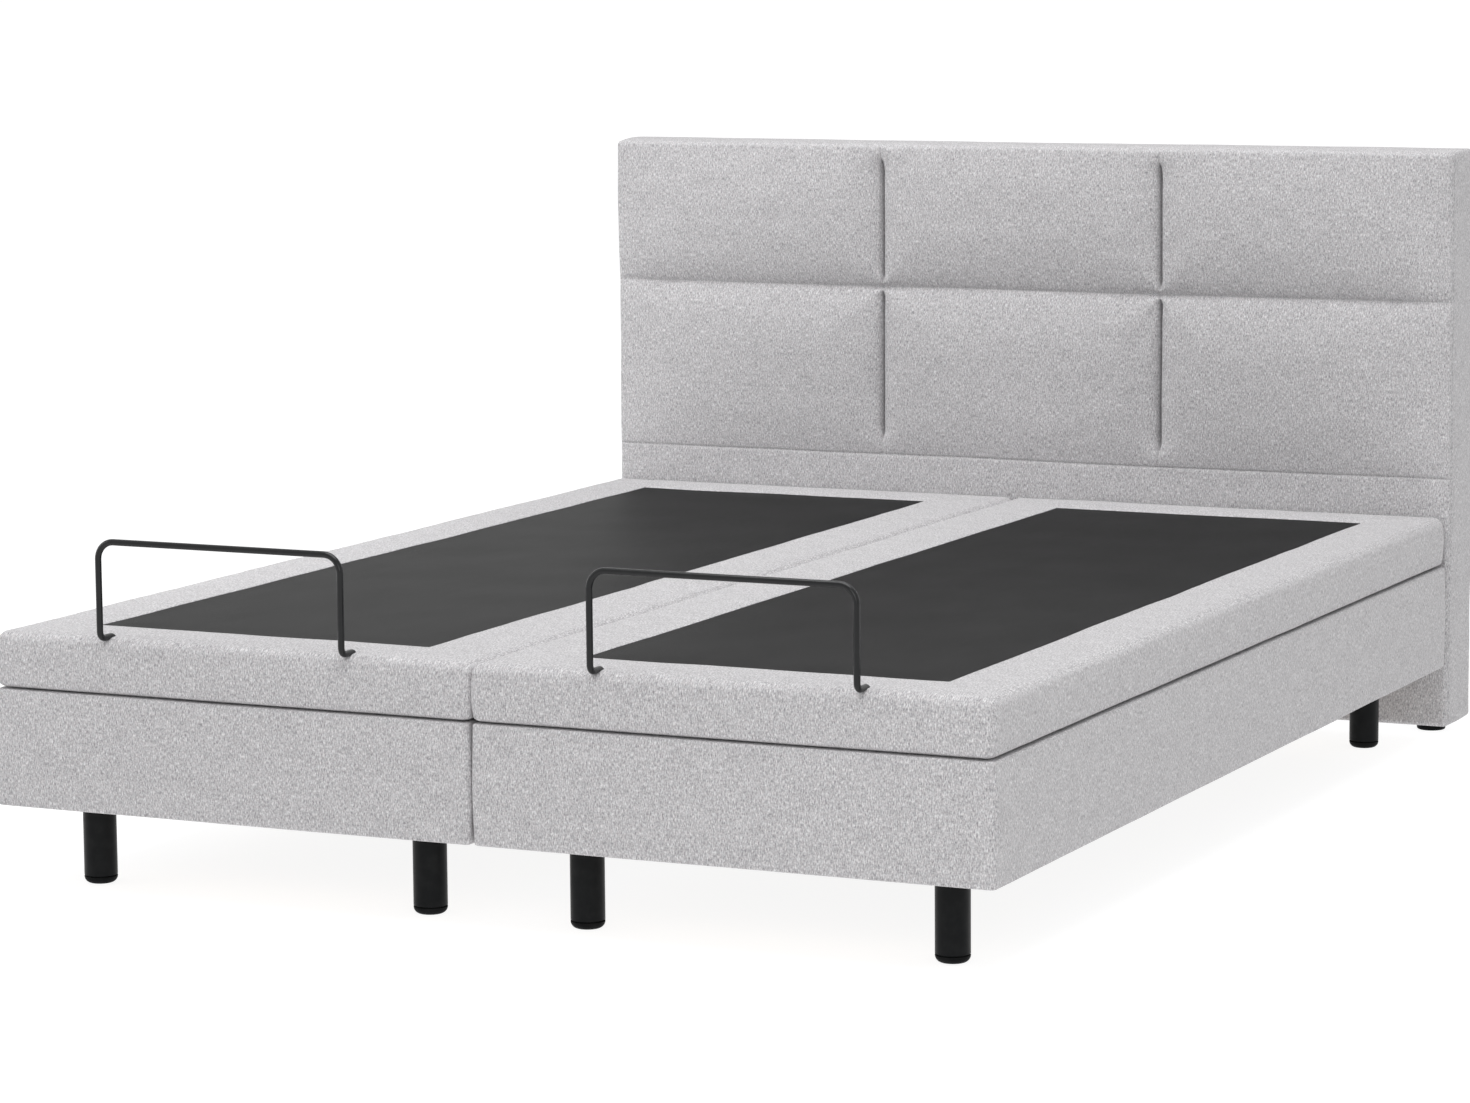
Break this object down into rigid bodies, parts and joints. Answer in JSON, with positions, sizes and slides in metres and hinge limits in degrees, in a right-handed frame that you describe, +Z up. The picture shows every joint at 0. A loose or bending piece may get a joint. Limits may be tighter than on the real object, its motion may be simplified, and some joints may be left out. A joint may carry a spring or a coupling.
{
  "type": "adjustable bed base",
  "caption": "Upholstered twin boxspring with electrically raised head and leg sections, wire mattress retainers and a padded headboard.",
  "frame": {"origin": "on the floor, under the middle of the whole bed's box", "axes": "+X across the bed to the right seen from its foot, +Y from the foot towards the headboard, +Z up"},
  "size_m": [1.6, 2.23, 1.016],
  "materials": {
    "fabric": "light grey melange weave",
    "wood": "plain board and timber",
    "black_metal": "satin black powder coat",
    "steel": "zinc-plated",
    "black_plastic": "matt black",
    "white_plastic": "natural"
  },
  "bodies": {
    "bed": {"left_plinth_frame": "wood", "left_plinth_cover": "fabric", "left_leg_foot_left": "black_metal", "left_foot_cap_foot_left": "black_plastic", "left_leg_foot_right": "black_metal", "left_foot_cap_foot_right": "black_plastic", "left_leg_head_left": "black_metal", "left_foot_cap_head_left": "black_plastic", "left_leg_head_right": "black_metal", "left_foot_cap_head_right": "black_plastic", "left_seat_board": "wood", "left_seat_pad": "fabric", "left_head_hinge": "steel", "left_thigh_hinge": "steel", "left_drive_case": "black_plastic", "right_plinth_frame": "wood", "right_plinth_cover": "fabric", "right_leg_foot_left": "black_metal", "right_foot_cap_foot_left": "black_plastic", "right_leg_foot_right": "black_metal", "right_foot_cap_foot_right": "black_plastic", "right_leg_head_left": "black_metal", "right_foot_cap_head_left": "black_plastic", "right_leg_head_right": "black_metal", "right_foot_cap_head_right": "black_plastic", "right_seat_board": "wood", "right_seat_pad": "fabric", "right_head_hinge": "steel", "right_thigh_hinge": "steel", "right_drive_case": "black_plastic", "headboard_padding": "fabric", "headboard_core": "wood", "headboard_glide_left": "black_plastic", "headboard_glide_right": "black_plastic"},
    "left_head": {"left_head_board": "wood", "left_head_pad": "fabric"},
    "left_thigh": {"left_thigh_board": "wood", "left_thigh_pad": "fabric"},
    "left_calf": {"left_calf_board": "wood", "left_calf_pad": "fabric", "left_knee_hinge": "steel", "left_retainer_bar": "black_metal"},
    "left_calf_link": {"left_calf_link": "black_metal"},
    "left_head_lift_arm": {"left_head_lift_arm": "black_metal"},
    "left_thigh_lift_arm": {"left_thigh_lift_arm": "black_metal"},
    "left_head_drive_slide": {"left_head_drive_slide": "white_plastic"},
    "left_thigh_drive_slide": {"left_thigh_drive_slide": "white_plastic"},
    "right_head": {"right_head_board": "wood", "right_head_pad": "fabric"},
    "right_thigh": {"right_thigh_board": "wood", "right_thigh_pad": "fabric"},
    "right_calf": {"right_calf_board": "wood", "right_calf_pad": "fabric", "right_knee_hinge": "steel", "right_retainer_bar": "black_metal"},
    "right_calf_link": {"right_calf_link": "black_metal"},
    "right_head_lift_arm": {"right_head_lift_arm": "black_metal"},
    "right_thigh_lift_arm": {"right_thigh_lift_arm": "black_metal"},
    "right_head_drive_slide": {"right_head_drive_slide": "white_plastic"},
    "right_thigh_drive_slide": {"right_thigh_drive_slide": "white_plastic"}
  },
  "joints": [
    {"name": "left_head_tilt", "type": "hinge", "parent": "bed", "child": "left_head", "pos_m": [-0.401, 0.22, 0.378], "axis": [1, 0, 0], "range_deg": [0, 60]},
    {"name": "left_thigh_tilt", "type": "hinge", "parent": "bed", "child": "left_thigh", "pos_m": [-0.401, -0.03, 0.378], "axis": [-1, 0, 0], "range_deg": [0, 35]},
    {"name": "left_calf_tilt", "type": "hinge", "parent": "left_thigh", "child": "left_calf", "pos_m": [-0.401, -0.4, 0.31], "axis": [-1, 0, 0], "range_deg": [-35, 0]},
    {"name": "left_calf_link_swing", "type": "hinge", "parent": "bed", "child": "left_calf_link", "pos_m": [-0.401, 0, 0.269], "axis": [-1, 0, 0], "range_deg": [0, 35]},
    {"name": "left_head_arm_swing", "type": "hinge", "parent": "bed", "child": "left_head_lift_arm", "pos_m": [-0.401, 0.25, 0.227], "axis": [1, 0, 0], "range_deg": [0, 51.38]},
    {"name": "left_thigh_arm_swing", "type": "hinge", "parent": "bed", "child": "left_thigh_lift_arm", "pos_m": [-0.401, -0.06, 0.227], "axis": [-1, 0, 0], "range_deg": [0, 32.85]},
    {"name": "left_head_slide_travel", "type": "slide", "parent": "bed", "child": "left_head_drive_slide", "axis": [0, 1, 0], "range_m": [0, 0.0652]},
    {"name": "left_thigh_slide_travel", "type": "slide", "parent": "bed", "child": "left_thigh_drive_slide", "axis": [0, -1, 0], "range_m": [0, 0.0426]},
    {"name": "right_head_tilt", "type": "hinge", "parent": "bed", "child": "right_head", "pos_m": [0.401, 0.22, 0.378], "axis": [1, 0, 0], "range_deg": [0, 60]},
    {"name": "right_thigh_tilt", "type": "hinge", "parent": "bed", "child": "right_thigh", "pos_m": [0.401, -0.03, 0.378], "axis": [-1, 0, 0], "range_deg": [0, 35]},
    {"name": "right_calf_tilt", "type": "hinge", "parent": "right_thigh", "child": "right_calf", "pos_m": [0.401, -0.4, 0.31], "axis": [-1, 0, 0], "range_deg": [-35, 0]},
    {"name": "right_calf_link_swing", "type": "hinge", "parent": "bed", "child": "right_calf_link", "pos_m": [0.401, 0, 0.269], "axis": [-1, 0, 0], "range_deg": [0, 35]},
    {"name": "right_head_arm_swing", "type": "hinge", "parent": "bed", "child": "right_head_lift_arm", "pos_m": [0.401, 0.25, 0.227], "axis": [1, 0, 0], "range_deg": [0, 51.38]},
    {"name": "right_thigh_arm_swing", "type": "hinge", "parent": "bed", "child": "right_thigh_lift_arm", "pos_m": [0.401, -0.06, 0.227], "axis": [-1, 0, 0], "range_deg": [0, 32.85]},
    {"name": "right_head_slide_travel", "type": "slide", "parent": "bed", "child": "right_head_drive_slide", "axis": [0, 1, 0], "range_m": [0, 0.0652]},
    {"name": "right_thigh_slide_travel", "type": "slide", "parent": "bed", "child": "right_thigh_drive_slide", "axis": [0, -1, 0], "range_m": [0, 0.0426]}
  ],
  "couplings": [
    {"joint": "left_calf_tilt", "follows": "left_thigh_tilt", "ratio": -1},
    {"joint": "left_calf_link_swing", "follows": "left_thigh_tilt", "ratio": 1},
    {"joint": "left_head_arm_swing", "follows": "left_head_tilt", "ratio": 0.85543},
    {"joint": "left_thigh_arm_swing", "follows": "left_thigh_tilt", "ratio": 0.93713},
    {"joint": "left_head_slide_travel", "follows": "left_head_tilt", "m_per_rad": 0.06203},
    {"joint": "left_thigh_slide_travel", "follows": "left_thigh_tilt", "m_per_rad": 0.06933},
    {"joint": "right_calf_tilt", "follows": "right_thigh_tilt", "ratio": -1},
    {"joint": "right_calf_link_swing", "follows": "right_thigh_tilt", "ratio": 1},
    {"joint": "right_head_arm_swing", "follows": "right_head_tilt", "ratio": 0.85543},
    {"joint": "right_thigh_arm_swing", "follows": "right_thigh_tilt", "ratio": 0.93713},
    {"joint": "right_head_slide_travel", "follows": "right_head_tilt", "m_per_rad": 0.06203},
    {"joint": "right_thigh_slide_travel", "follows": "right_thigh_tilt", "m_per_rad": 0.06933}
  ]
}
